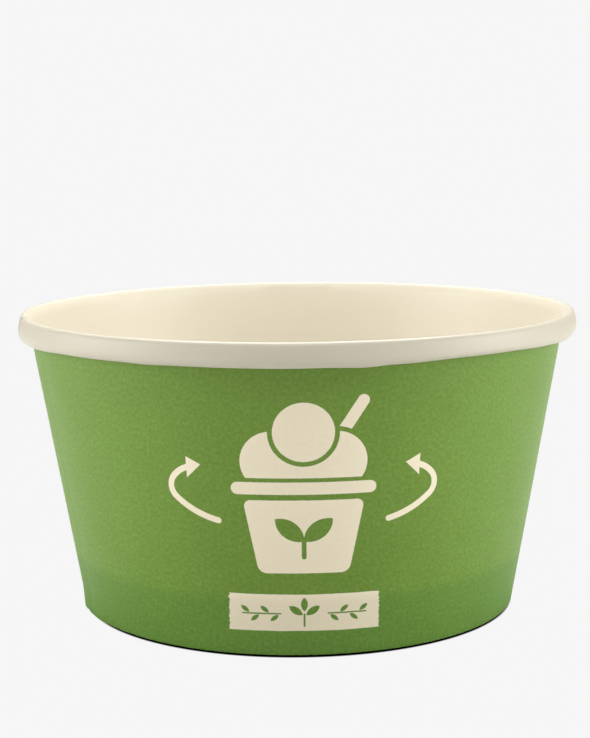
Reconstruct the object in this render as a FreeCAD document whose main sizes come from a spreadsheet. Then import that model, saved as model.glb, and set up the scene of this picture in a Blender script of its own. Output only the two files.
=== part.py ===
"""A round, tapered paper cup for ice cream or desserts.

The side wall is one blank of printed board. It is wrapped into a cone whose two
edges lap at a glued seam, its top edge is rolled outwards into a curl, and its
bottom edge is folded inwards and up round the skirt of a separate, recessed base.

Frame: millimetres, +Z up along the cup's axis, origin at the centre of the foot
circle on the surface that the cup stands on. The middle of the printed front faces
-Y, and the side seam is on the -X side. Plan angles are counted from +X towards +Y.
"""
import FreeCAD, Part
import math
import os

import Sketcher
from FreeCAD import Vector

START, END, CENTRE = range(1, 4)  # the ends and the centre of a piece of a sketch
ORIGIN = (-1, START)
X_AXIS = -1
Y_AXIS = -2

RAMP_STEPS = 4  # straight steps that the lapped layer takes down to the plain wall

SIZES = [
    ("rim_diameter", 110.0),  # over the rolled rim
    ("foot_diameter", 86.0),  # printed face of the wall, where it meets the table
    ("cup_height", 58.0),  # from the table to the crest of the rim
    ("curl_height", 4.4),  # from the rim's underside to its crest
    ("board", 0.35),  # thickness of the wall's board
    ("crest_bend", 0.35),  # tightest bend inside the curl, at its crest
    ("belly_bend", 0.8),  # the same at the widest part of the curl
    ("tuck_bend", 0.1),  # the same where the free edge turns up again
    ("tuck_gap", 0.1),  # from the lapped wall to the tucked free edge
    ("tuck_length", 0.8),  # straight end of the tucked edge
    ("base_board", 0.35),  # thickness of the base's board
    ("base_recess", 10.5),  # from the table to the underside of the base
    ("base_bend", 0.3),  # inside bend between the base and its skirt
    ("skirt_gap", 0.15),  # from the skirt's cut edge to the fold below it
    ("glue_gap", 0.05),  # glue line on each face of the skirt
    ("hem_gap", 1.5),  # from the hem's free edge up to the underside of the base
    ("fold_bend", 0.05),  # inside bends of the fold at the foot
    ("seam_angle", 191.0),  # plan angle of the inner layer's free edge, degrees
    ("seam_lap", 7.0),  # plan angle over which the two layers lap, degrees
    ("seam_ramp", 16.0),  # plan angle in which the outer layer comes down, degrees
]

# The curl's bends are set on its outside, the unprinted face, and at the seam's lap
# two boards lie inside it.
CREST_RADIUS = "(Sheet.crest_bend + 2 * Sheet.board)"
BELLY_RADIUS = "(Sheet.belly_bend + 2 * Sheet.board)"
TUCK_RADIUS = "(Sheet.tuck_bend + 2 * Sheet.board)"
CURL_UNDERSIDE = "(Sheet.cup_height - Sheet.curl_height)"
HEM_DEPTH = "(Sheet.board + Sheet.base_board + 2 * Sheet.glue_gap)"

doc = FreeCAD.newDocument("paper_cup")
sheet = doc.addObject("Spreadsheet::Sheet", "Sheet")
for row, (alias, value) in enumerate(SIZES, start=1):
    sheet.set("A%d" % row, alias)
    sheet.set("B%d" % row, str(value))
    sheet.setAlias("B%d" % row, alias)
doc.recompute()


def size(alias):
    return float(sheet.get(alias))


class WallLine:
    """Where the sloping wall lies, as a first shape for the sketches to settle from."""

    def __init__(self):
        self.board = size("board")
        self.crest = size("crest_bend") + 2 * self.board
        self.belly = size("belly_bend") + 2 * self.board
        self.tuck = size("tuck_bend") + 2 * self.board
        self.foot = size("foot_diameter") / 2
        underside = size("cup_height") - size("curl_height")
        self.curl_middle = size("rim_diameter") / 2 - self.belly
        self.tuck_centre = Vector(self.curl_middle, underside + self.tuck, 0)
        self.belly_centre = Vector(self.curl_middle, underside + self.belly, 0)
        reach = math.hypot(self.curl_middle - self.foot, self.tuck_centre.y)
        lean = math.atan2(self.curl_middle - self.foot, self.tuck_centre.y)
        inset = self.board + size("tuck_gap") + self.tuck
        self.slope = lean - math.asin(inset / reach)
        self.up = Vector(math.sin(self.slope), math.cos(self.slope), 0)
        self.out = Vector(math.cos(self.slope), -math.sin(self.slope), 0)

    def at(self, height, depth):
        """The point at this height whose depth under the printed face is as given."""
        radius = self.foot + height * math.tan(self.slope) - depth / math.cos(self.slope)
        return Vector(radius, height, 0)


class Profile:
    """A sketch in the plane of the cup's axis: x is the radius and y the height."""

    def __init__(self, sketch):
        self.sketch = sketch

    def line(self, start, end, construction=False):
        return self.sketch.addGeometry(Part.LineSegment(start, end), construction)

    def arc(self, centre, radius, start, end):
        """An arc from one direction to another, in radians, anticlockwise."""
        circle = Part.Circle(centre, Vector(0, 0, 1), radius)
        return self.sketch.addGeometry(Part.ArcOfCircle(circle, start, end))

    def rule(self, kind, *items):
        return self.sketch.addConstraint(Sketcher.Constraint(kind, *items))

    def measure(self, kind, items, value, expression):
        """A dimension that follows an expression on the sheet."""
        index = self.rule(kind, *items, value)
        self.sketch.setExpression("Constraints[%d]" % index, expression)

    def radius(self, item, value, expression):
        """The radius of an arc, or the distance of a point from the cup's axis."""
        if isinstance(item, tuple):
            self.measure("DistanceX", ORIGIN + item, value, expression)
        else:
            self.measure("Radius", (item,), value, expression)

    def height(self, item, value, expression):
        """The height of a point above the table."""
        self.measure("DistanceY", ORIGIN + item, value, expression)

    def wall_face(self, wall):
        """Construction: the printed face of the wall, from the foot to the curl.

        It starts at the foot circle and clears the tucked edge of the curl, whose
        bend is centred on the construction point, by one more board and a gap.
        """
        bend = wall.tuck_centre
        bend_height = CURL_UNDERSIDE + " + " + TUCK_RADIUS
        centre = self.sketch.addGeometry(Part.Point(bend), True)
        face = self.line(wall.at(0, 0), wall.at(bend.y, 0), True)
        self.radius((centre, START), bend.x, "Sheet.rim_diameter / 2 - " + BELLY_RADIUS)
        self.height((centre, START), bend.y, bend_height)
        self.rule("PointOnObject", face, START, X_AXIS)
        self.radius((face, START), wall.foot, "Sheet.foot_diameter / 2")
        self.height((face, END), bend.y, bend_height)
        self.measure(
            "Distance", (centre, START, face), wall.board + size("tuck_gap") + wall.tuck,
            "Sheet.board + Sheet.tuck_gap + " + TUCK_RADIUS,
        )
        return face, centre


def blank_path(name, level, angle):
    """The unprinted face of the blank, from the hem's free edge to the tucked edge.

    level is 0 where the layer lies on the cup's own face and 1 where a lapped layer
    lies outside another. The fold at the foot is lifted with it, so that the printed
    face of the outermost layer always meets the table at z = 0. angle is the plan
    angle of the sketch, as an expression.
    """
    wall = WallLine()
    sketch = doc.addObject("Sketcher::SketchObject", name)
    sketch.setExpression(
        "Placement",
        "placement(vector(0; 0; 0); rotation(vector(0; 0; 1); %s)"
        " * rotation(vector(1; 0; 0); 90))" % angle,
    )
    profile = Profile(sketch)
    fold_height = (1 + level) * wall.board
    fold_bend = size("fold_bend")
    hem_depth = wall.board + size("base_board") + 2 * size("glue_gap")
    hem_height = size("base_recess") - size("hem_gap")
    corner_height = fold_height + fold_bend
    wall_corner = wall.at(corner_height, wall.board)
    wall_corner.x -= fold_bend / math.cos(wall.slope)
    hem_corner = wall.at(corner_height, hem_depth)
    hem_corner.x += fold_bend / math.cos(wall.slope)
    fold_drop = Vector(0, -fold_bend, 0)

    crest_centre = wall.at(size("cup_height") - wall.crest, wall.board)
    crest_centre.x += wall.crest / math.cos(wall.slope)
    rim = size("rim_diameter") / 2
    across = rim - crest_centre.x
    rise = crest_centre.y - wall.belly_centre.y
    flank = (across**2 + rise**2 - wall.crest**2) / (2 * (across - wall.crest))
    flank_centre = Vector(rim - flank, wall.belly_centre.y, 0)
    flank_end = math.atan2(rise, crest_centre.x - flank_centre.x)
    crest_start = crest_centre - wall.out * wall.crest
    tuck_end = wall.tuck_centre - wall.out * wall.tuck

    hem_top = wall.at(hem_height, hem_depth)
    hem = profile.line(hem_top, hem_corner - wall.out * fold_bend)
    hem_fold = profile.arc(hem_corner, fold_bend, math.pi - wall.slope, 1.5 * math.pi)
    fold = profile.line(hem_corner + fold_drop, wall_corner + fold_drop)
    wall_fold = profile.arc(wall_corner, fold_bend, -math.pi / 2, -wall.slope)
    side = profile.line(wall_corner + wall.out * fold_bend, crest_start)
    crest = profile.arc(crest_centre, wall.crest, flank_end, math.pi - wall.slope)
    flank = profile.arc(flank_centre, flank, 0, flank_end)
    belly = profile.arc(wall.belly_centre, wall.belly, -math.pi / 2, 0)
    tuck = profile.arc(wall.tuck_centre, wall.tuck, math.pi - wall.slope, 1.5 * math.pi)
    edge = profile.line(tuck_end, tuck_end + wall.up * size("tuck_length"))
    face, curl_centre = profile.wall_face(wall)

    for joined in [
        (hem, END, hem_fold, START), (hem_fold, END, fold, START),
        (fold, END, wall_fold, START), (wall_fold, END, side, START),
        (side, END, crest, END), (crest, START, flank, END), (flank, START, belly, END),
        (belly, START, tuck, END), (tuck, START, edge, START),
    ]:
        profile.rule("Tangent", *joined)
    profile.rule("Horizontal", fold)
    for parallel in (hem, side, edge):
        profile.rule("Parallel", parallel, face)
    profile.rule("Equal", hem_fold, wall_fold)
    profile.rule("Coincident", tuck, CENTRE, curl_centre, START)
    profile.rule("Vertical", belly, START, belly, CENTRE)
    profile.rule("Horizontal", belly, END, belly, CENTRE)
    profile.radius(wall_fold, fold_bend, "Sheet.fold_bend")
    profile.radius(crest, wall.crest, CREST_RADIUS)
    profile.radius(belly, wall.belly, BELLY_RADIUS)
    profile.radius(tuck, wall.tuck, TUCK_RADIUS)
    profile.height((hem, START), hem_height, "Sheet.base_recess - Sheet.hem_gap")
    profile.height((fold, START), fold_height, "Sheet.board * %g" % (1 + level))
    profile.height((crest, CENTRE), crest_centre.y, "Sheet.cup_height - " + CREST_RADIUS)
    profile.measure("Distance", (edge,), size("tuck_length"), "Sheet.tuck_length")
    profile.measure("Distance", (side, START, face), wall.board, "Sheet.board")
    profile.measure("Distance", (hem, START, face), hem_depth, HEM_DEPTH)
    return sketch


def printed_side(name, source, boards, fill):
    """Moves a path towards the printed face, or fills the board between the two."""
    offset = doc.addObject("Part::Offset2D", name)
    offset.Source = source
    offset.Mode = "Skin"
    offset.Join = "Intersection"
    offset.Fill = fill
    offset.setExpression("Value", "Sheet.board * %g" % boards)
    return offset


def turned(name, section, angle):
    """A section turned about the cup's axis through an angle given as an expression."""
    turn = doc.addObject("Part::Revolution", name)
    turn.Source = section
    turn.Axis = Vector(0, 0, 1)
    turn.Base = Vector(0, 0, 0)
    turn.Solid = True
    turn.setExpression("Angle", angle)
    return turn


def build_side_wall():
    lap_end = "Sheet.seam_angle + Sheet.seam_lap"
    plain_path = blank_path("plain_path", 0, lap_end)
    plain_section = printed_side("plain_section", plain_path, 1, True)
    plain_wall = turned(
        "plain_wall", plain_section, "360 - Sheet.seam_lap - Sheet.seam_ramp",
    )

    lap_path = blank_path("lap_path", 1, "Sheet.seam_angle")
    lap_section = printed_side("lap_section", lap_path, 2, True)
    lapped_wall = turned("lapped_wall", lap_section, "Sheet.seam_lap")

    sections = []
    for step in range(RAMP_STEPS + 1):
        level = step / RAMP_STEPS
        angle = "Sheet.seam_angle - Sheet.seam_ramp * %g" % (1 - level)
        path = blank_path("ramp_path_%d" % step, level, angle)
        if step > 0:
            path = printed_side("ramp_face_%d" % step, path, level, False)
        sections.append(printed_side("ramp_section_%d" % step, path, 1, True))
    ramp = doc.addObject("Part::Loft", "ramp")
    ramp.Sections = sections
    ramp.Solid = True
    ramp.Ruled = True

    side_wall = doc.addObject("Part::MultiFuse", "side_wall")
    side_wall.Shapes = [plain_wall, lapped_wall, ramp]
    side_wall.Label = "side_wall"
    return side_wall


def build_base():
    """The recessed disc and its skirt, which ends above the fold's two boards at the lap."""
    body = doc.addObject("PartDesign::Body", "base")
    body.Label = "base"
    planes = {feature.Role: feature for feature in body.Origin.OriginFeatures}
    sketch = body.newObject("Sketcher::SketchObject", "base_profile")
    sketch.AttachmentSupport = [(planes["XZ_Plane"], "")]
    sketch.MapMode = "FlatFace"

    wall = WallLine()
    profile = Profile(sketch)
    board = size("base_board")
    bend = size("base_bend")
    underside = size("base_recess")
    top = underside + board
    outer_depth = wall.board + size("glue_gap")
    inner_depth = outer_depth + board
    foot = 2 * wall.board + size("skirt_gap")
    bend_centre = wall.at(underside - bend, inner_depth)
    bend_centre.x -= bend / math.cos(wall.slope)
    down_end = bend_centre + wall.out * bend
    outer_end = bend_centre + wall.out * (bend + board)
    outer_foot = wall.at(foot, outer_depth)
    inner_foot = outer_foot - wall.out * board

    disc_under = profile.line(Vector(0, underside, 0), Vector(bend_centre.x, underside, 0))
    inner_bend = profile.arc(bend_centre, bend, -wall.slope, math.pi / 2)
    skirt_inside = profile.line(down_end, inner_foot)
    skirt_edge = profile.line(inner_foot, outer_foot)
    skirt_outside = profile.line(outer_foot, outer_end)
    outer_bend = profile.arc(bend_centre, bend + board, -wall.slope, math.pi / 2)
    disc_top = profile.line(Vector(bend_centre.x, top, 0), Vector(0, top, 0))
    axis_side = profile.line(Vector(0, top, 0), Vector(0, underside, 0))
    face, _ = profile.wall_face(wall)

    for joined in [
        (disc_under, END, inner_bend, END), (inner_bend, START, skirt_inside, START),
        (skirt_outside, END, outer_bend, START), (outer_bend, END, disc_top, START),
    ]:
        profile.rule("Tangent", *joined)
    for joined in [
        (skirt_inside, END, skirt_edge, START), (skirt_edge, END, skirt_outside, START),
        (disc_top, END, axis_side, START), (axis_side, END, disc_under, START),
        (inner_bend, CENTRE, outer_bend, CENTRE),
    ]:
        profile.rule("Coincident", *joined)
    profile.rule("Horizontal", disc_under)
    profile.rule("Horizontal", disc_top)
    profile.rule("Vertical", axis_side)
    profile.rule("PointOnObject", axis_side, START, Y_AXIS)
    for parallel in (skirt_inside, skirt_outside):
        profile.rule("Parallel", parallel, face)
    profile.rule("Perpendicular", skirt_edge, skirt_outside)
    profile.radius(inner_bend, bend, "Sheet.base_bend")
    profile.height((disc_under, START), underside, "Sheet.base_recess")
    profile.height((skirt_outside, START), foot, "2 * Sheet.board + Sheet.skirt_gap")
    profile.measure("Distance", (skirt_edge,), board, "Sheet.base_board")
    profile.measure(
        "Distance", (skirt_outside, START, face), outer_depth, "Sheet.board + Sheet.glue_gap",
    )

    turn = body.newObject("PartDesign::Revolution", "base_turn")
    turn.Profile = sketch
    turn.ReferenceAxis = (sketch, ["V_Axis"])
    turn.Angle = 360
    body.Tip = turn
    return body


def check_and_write(parts):
    doc.recompute()
    for item in doc.Objects:
        if "Invalid" in item.State or "Error" in item.State:
            raise RuntimeError("%s did not build: %s" % (item.Label, item.State))
        if item.isDerivedFrom("Sketcher::SketchObject") and not item.FullyConstrained:
            raise RuntimeError("%s is not fully constrained" % item.Label)
    for part in parts:
        if part.Shape.isNull() or not part.Shape.isValid():
            raise RuntimeError("%s has no valid shape" % part.Label)
        if len(part.Shape.Solids) != 1:
            raise RuntimeError("%s is not one solid" % part.Label)
    os.makedirs("parts", exist_ok=True)
    for part in parts:
        part.Shape.exportStep("parts/%s.step" % part.Label)
        print("%s: %.1f mm3" % (part.Label, part.Shape.Volume))


check_and_write([build_side_wall(), build_base()])
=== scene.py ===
"""Looks of a round, tapered paper cup for ice cream or desserts.

The side wall is one printed blank of board. It is wrapped round so that its two edges lap
at a glued seam, curled outwards at the top and folded up round the skirt of the recessed
base. Both pieces are drawn as a line of points, spun round the cup's axis, moved where the
board laps or puckers, and given the board's thickness.

Names in capitals are sizes in millimetres unless they say otherwise. Plan angles are in
degrees, counted from +X towards +Y, so the middle of the front is near 270.
"""
import math

import bpy
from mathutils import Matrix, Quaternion, Vector, noise


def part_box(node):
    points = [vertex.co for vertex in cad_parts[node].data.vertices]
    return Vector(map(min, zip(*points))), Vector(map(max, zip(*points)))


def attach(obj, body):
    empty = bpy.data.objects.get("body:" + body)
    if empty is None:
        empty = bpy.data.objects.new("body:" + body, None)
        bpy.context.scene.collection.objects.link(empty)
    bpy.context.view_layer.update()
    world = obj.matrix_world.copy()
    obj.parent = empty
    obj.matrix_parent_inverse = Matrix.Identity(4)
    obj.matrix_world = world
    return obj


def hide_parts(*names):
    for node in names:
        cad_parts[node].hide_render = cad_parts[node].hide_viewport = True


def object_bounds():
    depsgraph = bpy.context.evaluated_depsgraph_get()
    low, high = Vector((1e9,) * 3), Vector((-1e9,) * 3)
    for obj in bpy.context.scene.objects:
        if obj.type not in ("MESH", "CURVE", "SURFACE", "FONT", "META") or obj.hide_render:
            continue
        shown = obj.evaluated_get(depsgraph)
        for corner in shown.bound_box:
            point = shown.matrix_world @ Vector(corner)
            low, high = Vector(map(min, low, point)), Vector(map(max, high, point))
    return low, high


MM = 0.001  # one millimetre, in Blender's metres

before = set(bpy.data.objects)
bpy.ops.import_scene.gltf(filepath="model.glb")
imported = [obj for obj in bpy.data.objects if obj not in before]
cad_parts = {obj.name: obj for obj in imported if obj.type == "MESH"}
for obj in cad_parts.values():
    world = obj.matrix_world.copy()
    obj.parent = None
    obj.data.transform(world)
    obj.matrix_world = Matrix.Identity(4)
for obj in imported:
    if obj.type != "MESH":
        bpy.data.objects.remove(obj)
cad_low, cad_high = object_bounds()
RIM_RADIUS = cad_high.y / MM
CUP_HEIGHT = cad_high.z / MM
BASE_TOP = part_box("base")[1].z / MM

# The wall's board and the shape that it is formed to
BOARD = 0.35
FOOT_RADIUS = 42.8  # printed face, at the table
CURL_HEIGHT = 4.4
CREST_RADIUS = 1.0  # the curl's bends, on its outside
SOFT_SHOULDER = 4.0  # the bend that leads from the wall into the crest
TIGHT_SHOULDER = 1.3  # the same where the rim is drawn tight
SHOULDER_TURN = math.radians(34)
BELLY_RADIUS = 1.5
TUCK_RADIUS = 0.8
TUCK_GAP = 0.1
TUCK_LENGTH = 0.8
FOLD_BEND = 0.05
WALL_COLUMNS = 367
SMOOTH_ANGLE = math.radians(50)  # sharper edges than this stay sharp

# The base
BASE_BOARD = 0.35
BASE_BEND = 0.3
GLUE_GAP = 0.05
SKIRT_GAP = 0.15
BASE_COLUMNS = 240
BASE_FLAT = 0.5  # out to this share of the foot's radius it has no waves
BASE_WAVY = 0.95  # beyond this share it has the wall's waves in full
MERGE_GAP = 0.001
HEM_GAP = 1.5
HEM_TOP = BASE_TOP - BASE_BOARD - HEM_GAP
HEM_DEPTH = BOARD + BASE_BOARD + 2 * GLUE_GAP

# The side seam, by plan angle. The free edge is where the photograph shows it on the rim.
SEAM_ANGLE = 193.5  # free edge of the inner layer
SEAM_LAP = 7.0
SEAM_RAMP = 16.0
FOLD_SETTLE = 3.0  # past the lap, the lifted fold comes down to the table again
SKIVE = 7.0  # the outer layer thins out to its free edge over this angle
SKIVED_SHARE = 0.05  # share of the board that is left there
SAME_WAY = 0.005  # directions that differ by less, as unit vectors, are the same
RIM_SEAM_SHADE_COLUMNS = 2  # the painted shade along the seam's free edge is this many columns wide on the rim

# Unevenness of the formed board
WALL_WAVE = 0.05
WALL_WAVE_LENGTH = 26.0
RIM_WAVE = 0.07
RIM_WAVE_LENGTH = 13.0
# How much lower than drawn the curl's underside lies, by plan angle
CURL_DROPS = (
    (0, 0.3), (60, 0.0), (120, 0.0), (180, 0.45), (204, 0.45), (222, 0.03), (236, 0.01),
    (241, 0.12), (247, 0.02), (268, 0.12), (275, 0.05), (282, 0.21), (288, -0.08),
    (302, -0.39), (314, -0.37), (327, -0.05), (337, 0.27), (360, 0.3),
)
# How tightly the rim's shoulder is drawn, from soft at 0 to tight at 1, by plan angle
SHOULDER_DRAWS = (
    (0, 0.2), (60, 0.1), (78, 0.15), (84, 0.9), (96, 1.0), (101, 0.3), (112, 0.2),
    (119, -0.35), (126, 0.1), (180, 0.2), (360, 0.2),
)
# How far the wall bulges outwards at the table, near the foot's left corner, by plan angle
FOOT_BULGES = (
    (0, 0.0), (188, 0.0), (197, 0.6), (206, 0.5), (216, 0.1), (224, 0.0), (360, 0.0),
)
FOOT_BULGE_TOP = 5.0  # the bulge ends at this height

# The print, laid out round PRINT_ANGLE and up the slope from the foot
PRINT_ANGLE = 271.0
HEM_INK = -3.2  # the ink ends this far round the fold
HEM_INK_FADE = 0.2
INK_EDGE = 0.05  # half the width in which an ink edge fades
INK_WANDER = 0.10  # how far an ink edge wanders, from side to side
INK_WANDER_SCALE = 2.2
LABEL_UP = 8.47  # the label's middle
LABEL_HALF_WIDTH = 13.5
LABEL_HALF_HEIGHT = 3.56
LABEL_CORNER = 0.15
BRUSH_SCALES = (0.25, 3.2, 1)  # the brush marks at the label's ends run sideways
BRUSHED_FROM = 12.2
BRUSHED_TO = 13.4
BRUSH_DEPTHS = (0.2, 0.8)  # how ragged the label's edge is along it, and at its ends
BRUSH_MIDDLE = 0.45

# Colours, in linear light
BOARD_CREAM = (0.585, 0.538, 0.430)
PRINT_CREAM = (0.920, 0.820, 0.612)
INK_GREEN = (0.140, 0.262, 0.021)
BASE_PAINTED_SHADE_GREEN = (0.108, 0.236, 0.019)  # painted shade, where the base's skirt lies behind the board and keeps out light that would shine through it
BASE_PAINTED_SHADE_HEIGHTS = (12.4, 9.6)  # this painted shade sets in at the first height and is full at the second
BASE_PAINTED_SHADE_CREAM_DROP = 0.1  # how much darker the print's cream is painted there
CREAM_SWING = 0.2  # share of the paper's tone that the cream keeps
INK_GAPS = 0.008  # share of cream that shows through the ink
INK_GAP_SWING = 0.2  # how much that share follows the paper's tone
EDGE_CREAM = (0.60, 0.53, 0.39)
SEAM_PAINTED_SHADE = 0.62  # painted shade: how dark the board is drawn along the seam's free edge on the rim, as if shaded by the step between the layers
SEAM_PAINTED_SHADE_FADE = (0.15, 0.6)  # shares of the way to the edge where it sets in and is full
TABLE_GREY = 0.8

# Paper, in marks per millimetre
CLOUD_SCALE = 0.12
FIBRE_SCALE = 1.55
STREAK_SCALES = (2.2, 0.14, 2.2)
STREAK_RELIEF = 0.35  # beside the fibres' relief of 1
NOISE_SWING = 4.0  # takes noise about its middle of one half to a swing about 0

# The camera, fitted to the photograph's rim and foot circles
CAMERA_PLACE = (-0.47, -337.35, 94.99)
CAMERA_PITCH = 0.1453  # radians, downwards
CAMERA_ROLL = -0.0103  # radians
CAMERA_LENS = 83.14
CAMERA_SENSOR = 36
CAMERA_CLIP = 10

# The studio: the backdrop's level as the camera sees it, and as it lights the cup
BACKDROP = 0.921
ROOM_LIGHT = 0.03
TABLE_SIZE = 8000
SHADOW_SHIFT = 1.5  # the contact shadow's middle lies this far in front of the foot's
SHADOW_EDGES = (-0.7, -0.1)  # it fades between these distances from the foot circle
# Soft boxes: plan angle, distance and height of the middle, width, length, and watts
SOFT_BOXES = {
    "left_soft_box": (190, 800, 200, 500, 700, 6.5),
    "right_soft_box": (350, 800, 200, 500, 700, 6.95),
    "back_soft_box": (90, 500, 700, 600, 400, 6.7),
    "front_soft_box": (270, 350, 800, 500, 400, 3.2),
    "inside_soft_box": (270, 1, 82, 60, 60, 0.027),
}


# Shapes


def smooth_step(start, end, value):
    share = max(0.0, min(1.0, (value - start) / (end - start)))
    return share * share * (3 - 2 * share)


def from_table(table, angle):
    """Goes smoothly from one listed value to the next, by plan angle."""
    angle %= 360
    for (start, before), (end, after) in zip(table, table[1:]):
        if angle <= end:
            return before + (after - before) * smooth_step(start, end, angle)
    return table[-1][1]


def wall_slope():
    """The wall's lean, from the foot circle to a line that clears the curl's tucked edge."""
    across = RIM_RADIUS - BELLY_RADIUS - FOOT_RADIUS
    rise = CUP_HEIGHT - CURL_HEIGHT + TUCK_RADIUS
    inset = BOARD + TUCK_GAP + TUCK_RADIUS
    return math.atan2(across, rise) - math.asin(inset / math.hypot(across, rise))


SLOPE = wall_slope()
UP = Vector((math.sin(SLOPE), math.cos(SLOPE)))
OUT = Vector((math.cos(SLOPE), -math.sin(SLOPE)))


def on_wall(height, depth):
    """The place (radius, height) that lies this deep under the wall's printed face."""
    radius = FOOT_RADIUS + height * math.tan(SLOPE) - depth / math.cos(SLOPE)
    return Vector((radius, height))


def straight(points, end, steps):
    """Goes on from the last point to end in a straight line."""
    start = points[-1]
    points += [start.lerp(end, (step + 1) / steps) for step in range(steps)]


def bend(points, centre, radius, start, end, steps):
    """Goes on round a centre, from one direction to another, in radians."""
    for step in range(steps):
        angle = start + (end - start) * (step + 1) / steps
        points.append(centre + radius * Vector((math.cos(angle), math.sin(angle))))


def blank_line(fold_height, shoulder):
    """The blank's unprinted face, from the hem's free edge to the curl's tucked edge.

    fold_height is the height of the unprinted face where the board is folded at the foot,
    and shoulder the radius of the bend below the crest. Also returns the numbers of the
    points where the fold's flat ends, where the sloping wall begins and where the crest
    ends.
    """
    left = math.pi - SLOPE
    shoulder_end = left - SHOULDER_TURN
    corner_height = fold_height + FOLD_BEND
    aside = Vector((FOLD_BEND / math.cos(SLOPE), 0))
    hem_corner = on_wall(corner_height, HEM_DEPTH) + aside
    wall_corner = on_wall(corner_height, BOARD) - aside
    reach = shoulder - CREST_RADIUS
    shoulder_height = CUP_HEIGHT - CREST_RADIUS - reach * math.sin(shoulder_end)
    shoulder_centre = on_wall(shoulder_height, BOARD)
    shoulder_centre.x += shoulder / math.cos(SLOPE)
    crest_centre = shoulder_centre + reach * Vector(
        (math.cos(shoulder_end), math.sin(shoulder_end))
    )
    underside = CUP_HEIGHT - CURL_HEIGHT
    belly_centre = Vector((RIM_RADIUS - BELLY_RADIUS, underside + BELLY_RADIUS))
    tuck_centre = Vector((belly_centre.x, underside + TUCK_RADIUS))
    across = RIM_RADIUS - crest_centre.x
    rise = crest_centre.y - belly_centre.y
    flank = (across**2 + rise**2 - CREST_RADIUS**2) / (2 * (across - CREST_RADIUS))
    flank_centre = Vector((RIM_RADIUS - flank, belly_centre.y))
    flank_end = math.atan2(rise, crest_centre.x - flank_centre.x)

    points = [on_wall(HEM_TOP, HEM_DEPTH)]
    straight(points, hem_corner - OUT * FOLD_BEND, 8)
    bend(points, hem_corner, FOLD_BEND, left, 1.5 * math.pi, 3)
    straight(points, wall_corner - Vector((0, FOLD_BEND)), 2)
    flat_end = len(points) - 1
    bend(points, wall_corner, FOLD_BEND, -0.5 * math.pi, -SLOPE, 3)
    wall_start = len(points) - 1
    straight(points, shoulder_centre - OUT * shoulder, 44)
    bend(points, shoulder_centre, shoulder, left, shoulder_end, 6)
    bend(points, crest_centre, CREST_RADIUS, shoulder_end, flank_end, 9)
    crest_end = len(points) - 1
    bend(points, flank_centre, flank, flank_end, 0, 4)
    bend(points, belly_centre, BELLY_RADIUS, 0, -0.5 * math.pi, 8)
    bend(points, tuck_centre, TUCK_RADIUS, 1.5 * math.pi, left, 8)
    straight(points, points[-1] + UP * TUCK_LENGTH, 2)
    return points, flat_end, wall_start, crest_end


def base_line():
    """The base's upper face, from the axis to the bend and down the skirt's outside."""
    outer_bend = BASE_BEND + BASE_BOARD
    centre = on_wall(BASE_TOP - outer_bend, BOARD + GLUE_GAP)
    centre.x -= outer_bend / math.cos(SLOPE)
    points = [Vector((0, BASE_TOP))]
    straight(points, Vector((centre.x, BASE_TOP)), 24)
    bend(points, centre, outer_bend, 0.5 * math.pi, -SLOPE, 5)
    straight(points, on_wall(2 * BOARD + SKIRT_GAP, BOARD + GLUE_GAP), 8)
    return points


def right_hand(points):
    """At each point of a line, the direction square to it, on the right of its way."""
    ways = [(after - before).normalized() for before, after in zip(points, points[1:])]
    sides = []
    for before, after in zip([ways[0]] + ways, ways + [ways[-1]]):
        along = (before + after).normalized()
        sides.append(Vector((along.y, -along.x)))
    return sides


def turned(place, angle):
    """A place (radius, height) in millimetres, turned to a plan angle, in metres."""
    turn = math.radians(angle)
    radius, height = place
    return Vector((radius * math.cos(turn), radius * math.sin(turn), height)) * MM


def spun_line(name, line, start, sweep, columns):
    """Draws a line of points at a plan angle and spins it round the cup's axis.

    Returns the object and, for each of its vertices, its row on the line and its column
    round the axis.
    """
    bpy.ops.object.select_all(action="DESELECT")
    places = [turned(point, start) for point in line]
    bpy.ops.mesh.primitive_plane_add(size=MM, location=(0, 0, 0))
    piece = bpy.context.object
    piece.name = piece.data.name = name
    bpy.ops.object.mode_set(mode="EDIT")
    bpy.ops.mesh.merge(type="CENTER")
    bpy.ops.transform.translate(value=places[0])
    for before, after in zip(places, places[1:]):
        bpy.ops.mesh.extrude_region_move(TRANSFORM_OT_translate={"value": after - before})
    bpy.ops.object.mode_set(mode="OBJECT")
    drawn = [
        min(range(len(places)), key=lambda row: (places[row] - vertex.co).length)
        for vertex in piece.data.vertices
    ]
    bpy.ops.object.mode_set(mode="EDIT")
    bpy.ops.mesh.select_all(action="SELECT")
    bpy.ops.mesh.spin(
        steps=columns, angle=-math.radians(sweep), center=(0, 0, 0), axis=(0, 0, 1),
    )
    bpy.ops.object.mode_set(mode="OBJECT")
    count = len(piece.data.vertices)
    rows = [drawn[index % len(line)] for index in range(count)]
    return piece, rows, [index // len(line) for index in range(count)]


def face_towards(piece, probe, direction):
    """Turns all faces of an open sheet so that the one nearest to probe looks that way."""
    near = min(piece.data.polygons, key=lambda face: (face.center - probe).length)
    if near.normal.dot(direction) < 0:
        bpy.ops.object.mode_set(mode="EDIT")
        bpy.ops.mesh.select_all(action="SELECT")
        bpy.ops.mesh.flip_normals()
        bpy.ops.object.mode_set(mode="OBJECT")


def give_thickness(piece, thickness, back_slot, edge_slot):
    """A board's thickness behind its faces. The back and the cut edges get own slots."""
    wall = piece.modifiers.new("board", "SOLIDIFY")
    wall.thickness = thickness * MM
    wall.offset = -1
    wall.use_even_offset = True
    wall.use_quality_normals = True
    wall.material_offset = back_slot
    wall.material_offset_rim = edge_slot
    if piece.vertex_groups:
        wall.vertex_group = piece.vertex_groups[0].name
    bpy.context.view_layer.objects.active = piece
    bpy.ops.object.modifier_apply(modifier=wall.name)
    piece.select_set(True)
    bpy.ops.object.shade_smooth_by_angle(angle=SMOOTH_ANGLE)
    piece.select_set(False)


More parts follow.
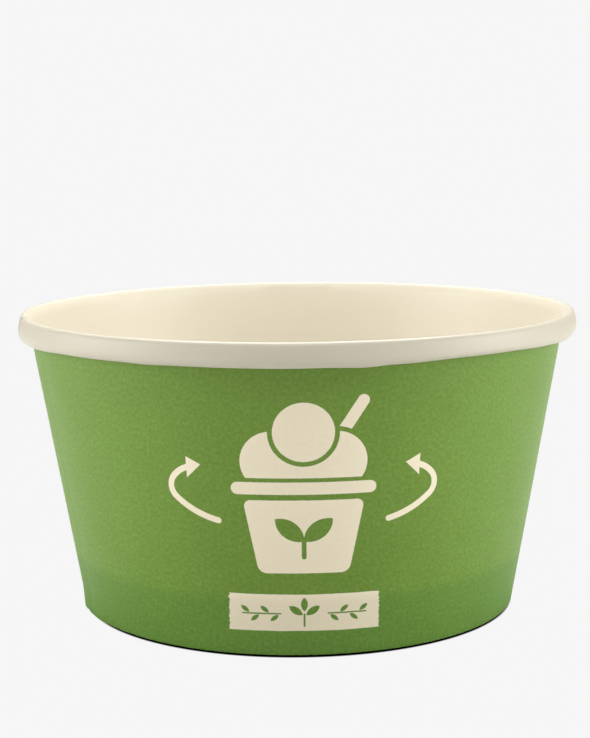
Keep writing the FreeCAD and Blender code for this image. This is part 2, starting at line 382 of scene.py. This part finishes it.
def skived(angle):
    """The outer layer's thickness near its free edge, in boards, by plan angle."""
    edge = SEAM_ANGLE + SEAM_LAP
    return 1 - (1 - SKIVED_SHARE) * smooth_step(edge - SKIVE, edge, angle)


def layer_place(angle):
    """How far the blank is lifted at the fold and shifted outwards there, in boards.

    angle runs on from the inner layer's free edge, once round the cup, to the outer
    layer's free edge. The inner layer's fold lies on the outer layer's.
    """
    lap_end = SEAM_ANGLE + SEAM_LAP
    if angle < lap_end + FOLD_SETTLE:
        settled = smooth_step(lap_end, lap_end + FOLD_SETTLE, angle)
        return skived(angle) * (1 - settled), 0.0
    ramp_start = SEAM_ANGLE + 360 - SEAM_RAMP
    share = max(0.0, min(1.0, (angle - ramp_start) / SEAM_RAMP))
    return share, share


def unevenness(place, angle):
    """How far the formed board stands off its true shape, outwards, by height and angle.

    Near the rim it is drawn in by half of what the waves may add, to stay as wide as the
    true shape.
    """
    radius, height = place
    turn = math.radians(angle)
    round_place = Vector((math.cos(turn) * radius, math.sin(turn) * radius, height))
    wave = WALL_WAVE * noise.noise(round_place / WALL_WAVE_LENGTH)
    rim = RIM_WAVE * noise.noise(round_place / RIM_WAVE_LENGTH + Vector((7, 3, 1)))
    near_rim = smooth_step(CUP_HEIGHT - 2 * CURL_HEIGHT, CUP_HEIGHT - CURL_HEIGHT, height)
    inset = 0.5 * (WALL_WAVE + RIM_WAVE) * near_rim
    return wave * (1 - 0.5 * near_rim) + rim * near_rim - inset


def build_side_wall():
    sweep = 360 + SEAM_LAP
    flat_line, flat_end, wall_start, crest_end = blank_line(BOARD, SOFT_SHOULDER)
    lifted_line = blank_line(2 * BOARD, SOFT_SHOULDER)[0]
    tight_line = blank_line(BOARD, TIGHT_SHOULDER)[0]
    sides = right_hand(flat_line)
    wall, rows, turns = spun_line("cup_wall", flat_line, SEAM_ANGLE, sweep, WALL_COLUMNS)
    thickness = wall.vertex_groups.new(name="board_thickness")
    for index, turn in enumerate(turns):
        angle = SEAM_ANGLE + sweep * turn / WALL_COLUMNS
        thickness.add([index], skived(angle - 360), "REPLACE")

    runs = [0.0]
    for before, after in zip(flat_line, flat_line[1:]):
        runs.append(runs[-1] + (after - before).length)
    foot_run = runs[wall_start] - flat_line[wall_start].y / math.cos(SLOPE)
    underside = CUP_HEIGHT - CURL_HEIGHT
    # Making an attribute can move the data of the others, so both are made, and the vertex
    # group filled, before either is looked up.
    wall.data.attributes.new("on_blank", "FLOAT_VECTOR", "POINT")
    wall.data.attributes.new("seam_shade_nearness", "FLOAT", "POINT")
    on_blank = wall.data.attributes["on_blank"].data
    seam_shade_nearness = wall.data.attributes["seam_shade_nearness"].data
    for vertex, row, turn in zip(wall.data.vertices, rows, turns):
        angle = SEAM_ANGLE + sweep * turn / WALL_COLUMNS
        lift, shift = layer_place(angle)
        place = flat_line[row].lerp(lifted_line[row], lift) + sides[row] * (BOARD * shift)
        place += (tight_line[row] - flat_line[row]) * from_table(SHOULDER_DRAWS, angle)
        if row > crest_end:
            below = smooth_step(underside + BELLY_RADIUS, underside, place.y)
            place.y -= below * from_table(CURL_DROPS, angle)
        if row >= flat_end:
            near_foot = smooth_step(FOOT_BULGE_TOP, 0, place.y)
            place.x += near_foot * from_table(FOOT_BULGES, angle)
        place.x += unevenness(place, angle)
        vertex.co = turned(place, angle)
        on_blank[vertex.index].vector = (
            math.radians(angle - PRINT_ANGLE) * place.x, runs[row] - foot_run, 0,
        )
        # The painted shade along the seam's free edge reaches further on the rim than on the wall.
        edge_columns = RIM_SEAM_SHADE_COLUMNS if place.y > underside else 1
        seam_shade_nearness[vertex.index].value = max(0.0, 1 - turn / edge_columns)
    wall.data.update()
    face_towards(wall, turned(on_wall(CUP_HEIGHT / 2, BOARD), 270), Vector((0, 1, 0)))
    for finish in (unprinted_board(), printed_board(), cut_edge()):
        wall.data.materials.append(finish)
    printed_slot, edge_slot = 1, 2
    give_thickness(wall, BOARD, printed_slot, edge_slot)
    # The outer layer's thinned edge is as green as the print that it runs out into.
    seam = turned((1, 0), SEAM_ANGLE + SEAM_LAP).normalized()
    for face in wall.data.polygons:
        way = Vector((face.center.x, face.center.y, 0)).normalized()
        if face.material_index == edge_slot and (way - seam).length < SAME_WAY:
            face.material_index = printed_slot
    return wall


def build_base():
    line = base_line()
    base, rows, turns = spun_line("cup_base", line, 0, 360, BASE_COLUMNS)
    for vertex, row, turn in zip(base.data.vertices, rows, turns):
        angle = 360 * turn / BASE_COLUMNS
        place = line[row].copy()
        share = smooth_step(BASE_FLAT * FOOT_RADIUS, BASE_WAVY * FOOT_RADIUS, place.x)
        if share > 0:
            place.x += share * unevenness(place, angle)
        vertex.co = turned(place, angle)
    base.data.update()
    bpy.ops.object.mode_set(mode="EDIT")
    bpy.ops.mesh.select_all(action="SELECT")
    bpy.ops.mesh.remove_doubles(threshold=MERGE_GAP * MM)
    bpy.ops.object.mode_set(mode="OBJECT")
    face_towards(base, Vector((FOOT_RADIUS / 2, 0, BASE_TOP)) * MM, Vector((0, 0, 1)))
    for finish in (unprinted_board(), cut_edge()):
        base.data.materials.append(finish)
    face_slot, edge_slot = 0, 1
    give_thickness(base, BASE_BOARD, face_slot, edge_slot)
    return base


# Finishes


class Wiring:
    """Adds nodes to a tree, each with its inputs in order: a value, or a socket to link."""

    def __init__(self, tree):
        self.tree = tree

    def node(self, kind, *inputs, **settings):
        made = self.tree.nodes.new("ShaderNode" + kind)
        for name, value in settings.items():
            setattr(made, name, value)
        for socket, value in zip(made.inputs, inputs):
            self.feed(socket, value)
        return made

    def feed(self, socket, value):
        if isinstance(value, bpy.types.NodeSocket):
            self.tree.links.new(value, socket)
        elif value is not None:
            socket.default_value = value

    def maths(self, operation, *inputs):
        return self.node("Math", *inputs, operation=operation).outputs[0]

    def vector(self, operation, *inputs):
        return self.node("VectorMath", *inputs, operation=operation).outputs["Vector"]

    def length(self, vector):
        return self.node("VectorMath", vector, operation="LENGTH").outputs["Value"]

    def dot(self, first, second):
        made = self.node("VectorMath", first, second, operation="DOT_PRODUCT")
        return made.outputs["Value"]

    def parts(self, vector):
        return self.node("SeparateXYZ", vector).outputs

    def joined(self, x, y, z=0.0):
        return self.node("CombineXYZ", x, y, z).outputs[0]

    def fade(self, value, start, end, low=0.0, high=1.0):
        """Goes smoothly from low, where value is at start, to high, where it is at end."""
        return self.node(
            "MapRange", value, start, end, low, high, interpolation_type="SMOOTHSTEP",
        ).outputs["Result"]

    def least(self, *values):
        """The nearest of several distances: the union of their shapes."""
        nearest = values[0]
        for value in values[1:]:
            nearest = self.maths("MINIMUM", nearest, value)
        return nearest

    def most(self, *values):
        """The farthest of several distances: what their shapes share."""
        farthest = values[0]
        for value in values[1:]:
            farthest = self.maths("MAXIMUM", farthest, value)
        return farthest

    def without(self, shape, hole, gap=0.0):
        """A shape's distance with another shape, grown by a gap, cut out of it."""
        return self.maths("MAXIMUM", shape, self.maths("SUBTRACT", gap, hole))

    def colours(self, share, first, second):
        mix = self.node("Mix", data_type="RGBA")
        for name, value in (("Factor_Float", share), ("A_Color", first), ("B_Color", second)):
            socket = next(one for one in mix.inputs if one.identifier == name)
            self.feed(socket, value)
        return next(one for one in mix.outputs if one.identifier == "Result_Color")

    def grains(self, place, scale, detail, roughness=0.5):
        return self.node(
            "TexNoise", place, None, scale, detail, roughness, noise_dimensions="3D",
        ).outputs["Fac"]

    def placed(self, group, *inputs):
        """A node group, placed with its inputs in order."""
        made = self.tree.nodes.new("ShaderNodeGroup")
        made.node_tree = group
        for socket, value in zip(made.inputs, inputs):
            self.feed(socket, value)
        return made.outputs


def rgba(colour):
    return (*colour, 1)


def shader_group(name, inputs, outputs):
    """A new node group, its wiring, its inputs' sockets and the node that takes its results.

    inputs gives each input's name and first value, outputs each output's name.
    """
    group = bpy.data.node_groups.new(name, "ShaderNodeTree")
    for label, value in inputs.items():
        kind = "NodeSocketVector" if isinstance(value, tuple) else "NodeSocketFloat"
        socket = group.interface.new_socket(label, in_out="INPUT", socket_type=kind)
        socket.default_value = value
    for label in outputs:
        group.interface.new_socket(label, in_out="OUTPUT", socket_type="NodeSocketFloat")
    wiring = Wiring(group)
    given = group.nodes.new("NodeGroupInput").outputs
    results = group.nodes.new("NodeGroupOutput").inputs
    return group, wiring, given, results


def make_spot_group():
    """A round spot: how far a place lies outside its edge."""
    group, wiring, given, results = shader_group(
        "round_spot", {"Place": (0, 0, 0), "Centre": (0, 0, 0), "Radius": 1.0}, ["Distance"],
    )
    away = wiring.length(wiring.vector("SUBTRACT", given["Place"], given["Centre"]))
    wiring.feed(results["Distance"], wiring.maths("SUBTRACT", away, given["Radius"]))
    return group


def make_bar_group():
    """A straight bar with round ends."""
    group, wiring, given, results = shader_group(
        "round_bar",
        {"Place": (0, 0, 0), "Start": (0, 0, 0), "End": (1, 0, 0), "Half Width": 1.0},
        ["Distance"],
    )
    reach = wiring.vector("SUBTRACT", given["Place"], given["Start"])
    way = wiring.vector("SUBTRACT", given["End"], given["Start"])
    share = wiring.node(
        "Math", wiring.dot(reach, way), wiring.dot(way, way), operation="DIVIDE",
        use_clamp=True,
    ).outputs[0]
    nearest = wiring.node("VectorMath", way, operation="SCALE")
    wiring.feed(nearest.inputs["Scale"], share)
    away = wiring.length(wiring.vector("SUBTRACT", reach, nearest.outputs["Vector"]))
    wiring.feed(results["Distance"], wiring.maths("SUBTRACT", away, given["Half Width"]))
    return group


def make_stroke_group():
    """A stroke bent along part of a circle, with round ends.

    Middle is the direction of its middle from the circle's centre, and Spread the angle
    from there to each end.
    """
    group, wiring, given, results = shader_group(
        "round_stroke",
        {
            "Place": (0, 0, 0), "Centre": (0, 0, 0), "Radius": 1.0, "Middle": 0.0,
            "Spread": 1.0, "Half Width": 0.5,
        },
        ["Distance"],
    )
    reach = wiring.vector("SUBTRACT", given["Place"], given["Centre"])
    turn = wiring.node("VectorRotate", reach, rotation_type="Z_AXIS")
    wiring.feed(turn.inputs["Angle"], wiring.maths("MULTIPLY", given["Middle"], -1.0))
    along, aside, _ = wiring.parts(turn.outputs["Vector"])
    aside = wiring.maths("ABSOLUTE", aside)
    angle = wiring.maths("ARCTAN2", aside, along)
    nearest = wiring.maths("MINIMUM", angle, given["Spread"])
    foot = wiring.joined(
        wiring.maths("MULTIPLY", wiring.maths("COSINE", nearest), given["Radius"]),
        wiring.maths("MULTIPLY", wiring.maths("SINE", nearest), given["Radius"]),
    )
    away = wiring.length(wiring.vector("SUBTRACT", wiring.joined(along, aside), foot))
    wiring.feed(results["Distance"], wiring.maths("SUBTRACT", away, given["Half Width"]))
    return group


def make_panel_group():
    """An upright panel with rounded corners, whose sides lean out by Lean going up."""
    group, wiring, given, results = shader_group(
        "panel",
        {
            "Place": (0, 0, 0), "Centre": (0, 0, 0), "Half Width": 1.0, "Half Height": 1.0,
            "Lean": 0.0, "Corner": 0.1,
        },
        ["Distance"],
    )
    across, up, _ = wiring.parts(wiring.vector("SUBTRACT", given["Place"], given["Centre"]))
    half = wiring.maths(
        "MULTIPLY_ADD", up, given["Lean"],
        wiring.maths("SUBTRACT", given["Half Width"], given["Corner"]),
    )
    beside = wiring.maths("SUBTRACT", wiring.maths("ABSOLUTE", across), half)
    above = wiring.maths(
        "SUBTRACT", wiring.maths("ABSOLUTE", up),
        wiring.maths("SUBTRACT", given["Half Height"], given["Corner"]),
    )
    corner = wiring.length(wiring.joined(
        wiring.maths("MAXIMUM", beside, 0.0), wiring.maths("MAXIMUM", above, 0.0),
    ))
    inside = wiring.maths("MINIMUM", wiring.maths("MAXIMUM", beside, above), 0.0)
    away = wiring.maths("ADD", corner, inside)
    wiring.feed(results["Distance"], wiring.maths("SUBTRACT", away, given["Corner"]))
    return group


def make_leaf_group():
    """A pointed leaf: what two circles share, whose centres lie Offset off its midrib."""
    group, wiring, given, results = shader_group(
        "leaf",
        {"Place": (0, 0, 0), "Centre": (0, 0, 0), "Turn": 0.0, "Radius": 1.0, "Offset": 0.5},
        ["Distance"],
    )
    reach = wiring.vector("SUBTRACT", given["Place"], given["Centre"])
    turn = wiring.node("VectorRotate", reach, rotation_type="Z_AXIS")
    wiring.feed(turn.inputs["Angle"], wiring.maths("MULTIPLY", given["Turn"], -1.0))
    along, aside, _ = wiring.parts(turn.outputs["Vector"])
    aside = wiring.maths("ADD", wiring.maths("ABSOLUTE", aside), given["Offset"])
    away = wiring.length(wiring.joined(along, aside))
    wiring.feed(results["Distance"], wiring.maths("SUBTRACT", away, given["Radius"]))
    return group


def make_paper_group():
    """The tone and the relief of paper: soft clouds, fine fibres and faint streaks.

    Place is in millimetres, with the streaks along its second direction.
    """
    group, wiring, given, results = shader_group(
        "paper",
        {"Place": (0, 0, 0), "Clouds": 0.03, "Fibres": 0.03, "Streaks": 0.02},
        ["Tone", "Relief"],
    )
    clouds = wiring.grains(given["Place"], CLOUD_SCALE, 3.0)
    fibres = wiring.grains(given["Place"], FIBRE_SCALE, 2.0)
    stretched = wiring.vector("MULTIPLY", given["Place"], STREAK_SCALES)
    streaks = wiring.grains(stretched, 1.0, 2.0)
    tone = 1.0
    for level, depth in ((clouds, "Clouds"), (fibres, "Fibres"), (streaks, "Streaks")):
        swing = wiring.maths("MULTIPLY_ADD", level, NOISE_SWING, -NOISE_SWING / 2)
        tone = wiring.maths("MULTIPLY_ADD", swing, given[depth], tone)
    wiring.feed(results["Tone"], tone)
    relief = wiring.maths("MULTIPLY_ADD", streaks, STREAK_RELIEF, fibres)
    wiring.feed(results["Relief"], relief)
    return group


def mask(wiring, distance):
    """1 inside a printed shape and 0 outside it."""
    return wiring.fade(distance, INK_EDGE, -INK_EDGE)


def past_line(wiring, place, start, end):
    """How far a place lies to the right of the way from start to end."""
    way = (Vector(end) - Vector(start)).normalized()
    reach = wiring.vector("SUBTRACT", place, (*start, 0))
    return wiring.dot(reach, (way.y, -way.x, 0))


def draw_arrow(wiring, place, stroke):
    """A curved arrow on the right of the print, which points back to its middle.

    Its stroke is three arcs that run on into each other. Each has its first and last
    direction from its centre, in degrees, and its radius.
    """
    half_width = 0.57
    arcs = ((80, 40, 5.6), (40, -50, 2.82), (-50, -77, 19.0))
    centre = Vector((19.12, 30.16, 0))  # of the first arc
    shape = None
    for number, (start, end, radius) in enumerate(arcs):
        if number:
            corner = math.radians(start)
            before = arcs[number - 1][2]
            centre += (before - radius) * Vector((math.cos(corner), math.sin(corner), 0))
        piece = wiring.placed(
            stroke, place, tuple(centre), radius, math.radians((start + end) / 2),
            math.radians((start - end) / 2), half_width,
        )[0]
        shape = wiring.least(shape, piece) if shape else piece
    tip, top, bottom = (18.24, 36.1), (21.07, 37.5), (20.87, 33.5)
    head = wiring.most(
        past_line(wiring, place, tip, bottom), past_line(wiring, place, bottom, top),
        past_line(wiring, place, top, tip),
    )
    return wiring.least(shape, head)


def draw_sundae(wiring, place, spot, bar, panel, leaf):
    """Three scoops and a wafer in a cup, in the middle of the print.

    Its places are millimetres across from the print's middle, and up from the foot.
    """
    gap = 0.85
    scoops_from = 34.0
    body = wiring.placed(panel, place, (0, 23.0, 0), 9.3, 6.9, 0.2, 1.4)[0]
    brim = wiring.placed(bar, place, (-11.6, 32.1, 0), (11.6, 32.1, 0), 1.15)[0]
    top_scoop = wiring.placed(spot, place, (0, 42.4, 0), 5.4)[0]
    lower_scoops = wiring.least(
        wiring.placed(spot, place, (-5.6, 37.1, 0), 5.5)[0],
        wiring.placed(spot, place, (5.6, 37.1, 0), 5.5)[0],
        wiring.placed(spot, place, (0, 34.6, 0), 2.4)[0],
    )
    lower_scoops = wiring.without(lower_scoops, top_scoop, gap)
    scoops = wiring.least(top_scoop, lower_scoops)
    above_brim = wiring.maths("SUBTRACT", scoops_from, wiring.parts(place)[1])
    scoops = wiring.most(scoops, above_brim)
    wafer = wiring.placed(bar, place, (6.5, 42.0, 0), (10.4, 48.0, 0), 1.05)[0]
    wafer = wiring.without(wafer, scoops, gap)
    sprout = wiring.least(
        wiring.placed(leaf, place, (-2.5, 24.3, 0), math.radians(140), 4.2, 2.6)[0],
        wiring.placed(leaf, place, (2.5, 24.3, 0), math.radians(40), 4.2, 2.6)[0],
        wiring.placed(bar, place, (0, 19.2, 0), (0, 22.6, 0), 0.42)[0],
    )
    return wiring.least(wiring.without(body, sprout), brim, scoops, wafer)


def draw_label(wiring, place, mirrored, bar, panel, leaf):
    """A brushed label with a garland of leaves, under the rest of the print.

    mirrored is the place with its left half folded over to the right, so that what is
    drawn there once shows on both sides.
    """
    label = wiring.placed(
        panel, place, (0, LABEL_UP, 0), LABEL_HALF_WIDTH, LABEL_HALF_HEIGHT, 0.0, LABEL_CORNER,
    )[0]
    brushed = wiring.grains(wiring.vector("MULTIPLY", place, BRUSH_SCALES), 1.0, 2.0)
    aside = wiring.parts(mirrored)[0]
    depth = wiring.fade(aside, BRUSHED_FROM, BRUSHED_TO, *BRUSH_DEPTHS)
    swing = wiring.maths("SUBTRACT", brushed, BRUSH_MIDDLE)
    label = wiring.maths("ADD", label, wiring.maths("MULTIPLY", swing, depth))
    garland = wiring.least(
        wiring.placed(leaf, mirrored, (1.5, 8.9, 0), math.radians(36), 2.0, 1.35)[0],
        wiring.placed(leaf, mirrored, (0, 10.1, 0), math.radians(90), 1.8, 1.2)[0],
        wiring.placed(bar, mirrored, (0, 5.9, 0), (0, 8.2, 0), 0.17)[0],
        wiring.placed(bar, mirrored, (4.2, 8.3, 0), (11.0, 8.3, 0), 0.14)[0],
    )
    for number in range(4):
        side = 1 if number % 2 else -1
        place_on_stem = (5.3 + 1.75 * number, 8.3 + 0.85 * side, 0)
        turn = math.radians(40 * side)
        blade = wiring.placed(leaf, mirrored, place_on_stem, turn, 1.35, 0.95)[0]
        garland = wiring.least(garland, blade)
    return wiring.without(label, garland)


def make_print_group():
    """The printed front: Cream is 1 where the ink is left out, and 0 elsewhere."""
    group, wiring, given, results = shader_group(
        "front_print", {"Place": (0, 0, 0)}, ["Cream"],
    )
    spot = make_spot_group()
    bar = make_bar_group()
    stroke = make_stroke_group()
    panel = make_panel_group()
    leaf = make_leaf_group()
    place = given["Place"]
    across, up, _ = wiring.parts(place)
    mirrored = wiring.joined(wiring.maths("ABSOLUTE", across), up)
    figure = wiring.least(
        draw_arrow(wiring, mirrored, stroke),
        draw_sundae(wiring, place, spot, bar, panel, leaf),
    )
    blur = wiring.grains(place, INK_WANDER_SCALE, 2.0)
    wander = wiring.maths("MULTIPLY_ADD", blur, INK_WANDER, -INK_WANDER / 2)
    figure = wiring.maths("ADD", figure, wander)
    label = draw_label(wiring, place, mirrored, bar, panel, leaf)
    wiring.feed(results["Cream"], mask(wiring, wiring.least(figure, label)))
    return group


def new_material(name):
    material = bpy.data.materials.new(name)
    material.use_nodes = True
    return material, Wiring(material.node_tree), material.node_tree.nodes["Principled BSDF"]


def tinted(wiring, colour, tone):
    """A colour made lighter or darker by a tone about 1."""
    made = wiring.node("VectorMath", colour, operation="SCALE")
    wiring.feed(made.inputs["Scale"], tone)
    return made.outputs["Vector"]


def rough_surface(wiring, shader, relief, depth, strength):
    """Gives a surface a relief of this depth in millimetres."""
    bump = wiring.node("Bump")
    bump.inputs["Strength"].default_value = strength
    bump.inputs["Distance"].default_value = depth * MM
    wiring.feed(bump.inputs["Height"], relief)
    wiring.feed(shader.inputs["Normal"], bump.outputs["Normal"])


FINISHES = {}


def unprinted_board():
    """The cream inner face, which also shows on the curl: smooth coated paper."""
    if "unprinted_board" not in FINISHES:
        material, wiring, shader = new_material("unprinted_board")
        place = wiring.vector(
            "MULTIPLY", wiring.node("TexCoord").outputs["Object"], (1 / MM,) * 3,
        )
        tone, relief = wiring.placed(PAPER, place, 0.008, 0.006, 0.0)
        # Painted shade: the board is drawn darker along the seam's free edge, as if shaded by the
        # step between the layers.
        near_edge = wiring.node("Attribute", attribute_name="seam_shade_nearness").outputs["Fac"]
        seam_painted_shade = wiring.fade(near_edge, *SEAM_PAINTED_SHADE_FADE, 1.0, SEAM_PAINTED_SHADE)
        tone = wiring.maths("MULTIPLY", tone, seam_painted_shade)
        wiring.feed(shader.inputs["Base Color"], tinted(wiring, BOARD_CREAM, tone))
        shader.inputs["Roughness"].default_value = 0.48
        shader.inputs["Specular IOR Level"].default_value = 0.4
        rough_surface(wiring, shader, relief, 0.02, 0.2)
        FINISHES["unprinted_board"] = material
    return FINISHES["unprinted_board"]


def printed_board():
    """The outer face: green ink with the print left out of it, on matt board."""
    material, wiring, shader = new_material("printed_board")
    place = wiring.node("Attribute", attribute_name="on_blank").outputs["Vector"]
    up = wiring.parts(place)[1]
    tone, relief = wiring.placed(PAPER, place, 0.02, 0.11, 0.015)
    swing = wiring.maths("SUBTRACT", tone, 1.0)
    # Painted shade: low on the wall, where the base's skirt lies behind the board, the green and
    # cream are drawn darker, as if less light shone through.
    base_painted_shade = wiring.fade(up, *BASE_PAINTED_SHADE_HEIGHTS)
    green = tinted(wiring, wiring.colours(base_painted_shade, rgba(INK_GREEN), rgba(BASE_PAINTED_SHADE_GREEN)), tone)
    cream_tone = wiring.maths("MULTIPLY_ADD", base_painted_shade, -BASE_PAINTED_SHADE_CREAM_DROP, 1.0)
    cream_tone = wiring.maths("MULTIPLY_ADD", swing, CREAM_SWING, cream_tone)
    cream = tinted(wiring, PRINT_CREAM, cream_tone)
    thin_ink = wiring.maths("MULTIPLY_ADD", swing, INK_GAP_SWING, INK_GAPS)
    green = wiring.colours(thin_ink, green, cream)
    front_print = wiring.placed(make_print_group(), place)[0]
    past_ink = wiring.fade(up, HEM_INK, HEM_INK - HEM_INK_FADE)
    bare = wiring.maths("MAXIMUM", front_print, past_ink)
    wiring.feed(shader.inputs["Base Color"], wiring.colours(bare, green, cream))
    shader.inputs["Roughness"].default_value = 0.5
    shader.inputs["Specular IOR Level"].default_value = 0.38
    rough_surface(wiring, shader, relief, 0.02, 0.4)
    return material


def cut_edge():
    """The board's cut edges: bare, rough fibres."""
    if "cut_edge" not in FINISHES:
        material, wiring, shader = new_material("cut_edge")
        place = wiring.vector(
            "MULTIPLY", wiring.node("TexCoord").outputs["Object"], (1 / MM,) * 3,
        )
        tone, relief = wiring.placed(PAPER, place, 0.05, 0.08, 0.0)
        wiring.feed(shader.inputs["Base Color"], tinted(wiring, EDGE_CREAM, tone))
        shader.inputs["Roughness"].default_value = 0.85
        rough_surface(wiring, shader, relief, 0.04, 0.6)
        FINISHES["cut_edge"] = material
    return FINISHES["cut_edge"]


# Studio


def camera_only(tree, shown, hidden, output):
    """Shows one shader to the camera and another to all light that bounces."""
    wiring = Wiring(tree)
    seen = wiring.node("LightPath").outputs["Is Camera Ray"]
    wiring.feed(output.inputs["Surface"], wiring.node("MixShader", seen, hidden, shown).outputs[0])


def build_floor():
    """A table that the camera sees as the backdrop, with the cup's contact shadow."""
    bpy.ops.object.select_all(action="DESELECT")
    bpy.ops.mesh.primitive_plane_add(size=TABLE_SIZE * MM, location=(0, 0, 0))
    floor = bpy.context.object
    floor.name = "table"
    material, wiring, shader = new_material("table")
    shader.inputs["Base Color"].default_value = rgba((TABLE_GREY,) * 3)
    shader.inputs["Roughness"].default_value = 0.9
    shader.inputs["Specular IOR Level"].default_value = 0.0
    shadow_centre = (0, -SHADOW_SHIFT * MM, 0)
    place = wiring.node("TexCoord").outputs["Object"]
    away = wiring.length(wiring.vector("SUBTRACT", place, shadow_centre))
    start, end = ((FOOT_RADIUS + edge) * MM for edge in SHADOW_EDGES)
    level = wiring.fade(away, start, end, 0.0, BACKDROP)
    glow = wiring.node("Emission", (1, 1, 1, 1), level)
    camera_only(
        material.node_tree, glow.outputs[0], shader.outputs[0],
        material.node_tree.nodes["Material Output"],
    )
    floor.data.materials.append(material)


def light_world():
    """A dim even room, which the camera sees as the backdrop."""
    world = bpy.data.worlds.new("studio")
    bpy.context.scene.world = world
    world.use_nodes = True
    tree = world.node_tree
    wiring = Wiring(tree)
    lighting = tree.nodes["Background"]
    lighting.inputs["Color"].default_value = (1, 1, 1, 1)
    lighting.inputs["Strength"].default_value = ROOM_LIGHT
    shown = wiring.node("Background", rgba((BACKDROP,) * 3), 1.0)
    camera_only(tree, shown.outputs[0], lighting.outputs[0], tree.nodes["World Output"])


def soft_light(name, angle, distance, height, width, tall, power):
    """A soft box at a plan angle round the cup, turned to look at it."""
    target = Vector((0, 0, CUP_HEIGHT / 2)) * MM
    place = turned((distance, height), angle)
    bpy.ops.object.light_add(type="AREA", location=place)
    light = bpy.context.object
    light.name = name
    light.rotation_euler = (target - place).to_track_quat("-Z", "Y").to_euler()
    light.data.shape = "RECTANGLE"
    light.data.size = width * MM
    light.data.size_y = tall * MM
    light.data.energy = power


def place_camera():
    bpy.ops.object.camera_add(location=Vector(CAMERA_PLACE) * MM)
    camera = bpy.context.object
    camera.name = "camera"
    aim = Vector((0, math.cos(CAMERA_PITCH), -math.sin(CAMERA_PITCH)))
    look = aim.to_track_quat("-Z", "Y")
    camera.rotation_mode = "QUATERNION"
    camera.rotation_quaternion = look @ Quaternion((0, 0, 1), CAMERA_ROLL)
    camera.data.lens = CAMERA_LENS
    camera.data.sensor_width = CAMERA_SENSOR
    camera.data.clip_start = CAMERA_CLIP * MM
    bpy.context.scene.camera = camera


PAPER = make_paper_group()
bpy.context.scene.view_settings.view_transform = "Standard"
cup_wall = build_side_wall()
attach(cup_wall, "root")
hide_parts("side_wall")
cup_base = build_base()
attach(cup_base, "root")
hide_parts("base")
build_floor()
light_world()
for box_name, box in SOFT_BOXES.items():
    soft_light(box_name, *box)
place_camera()
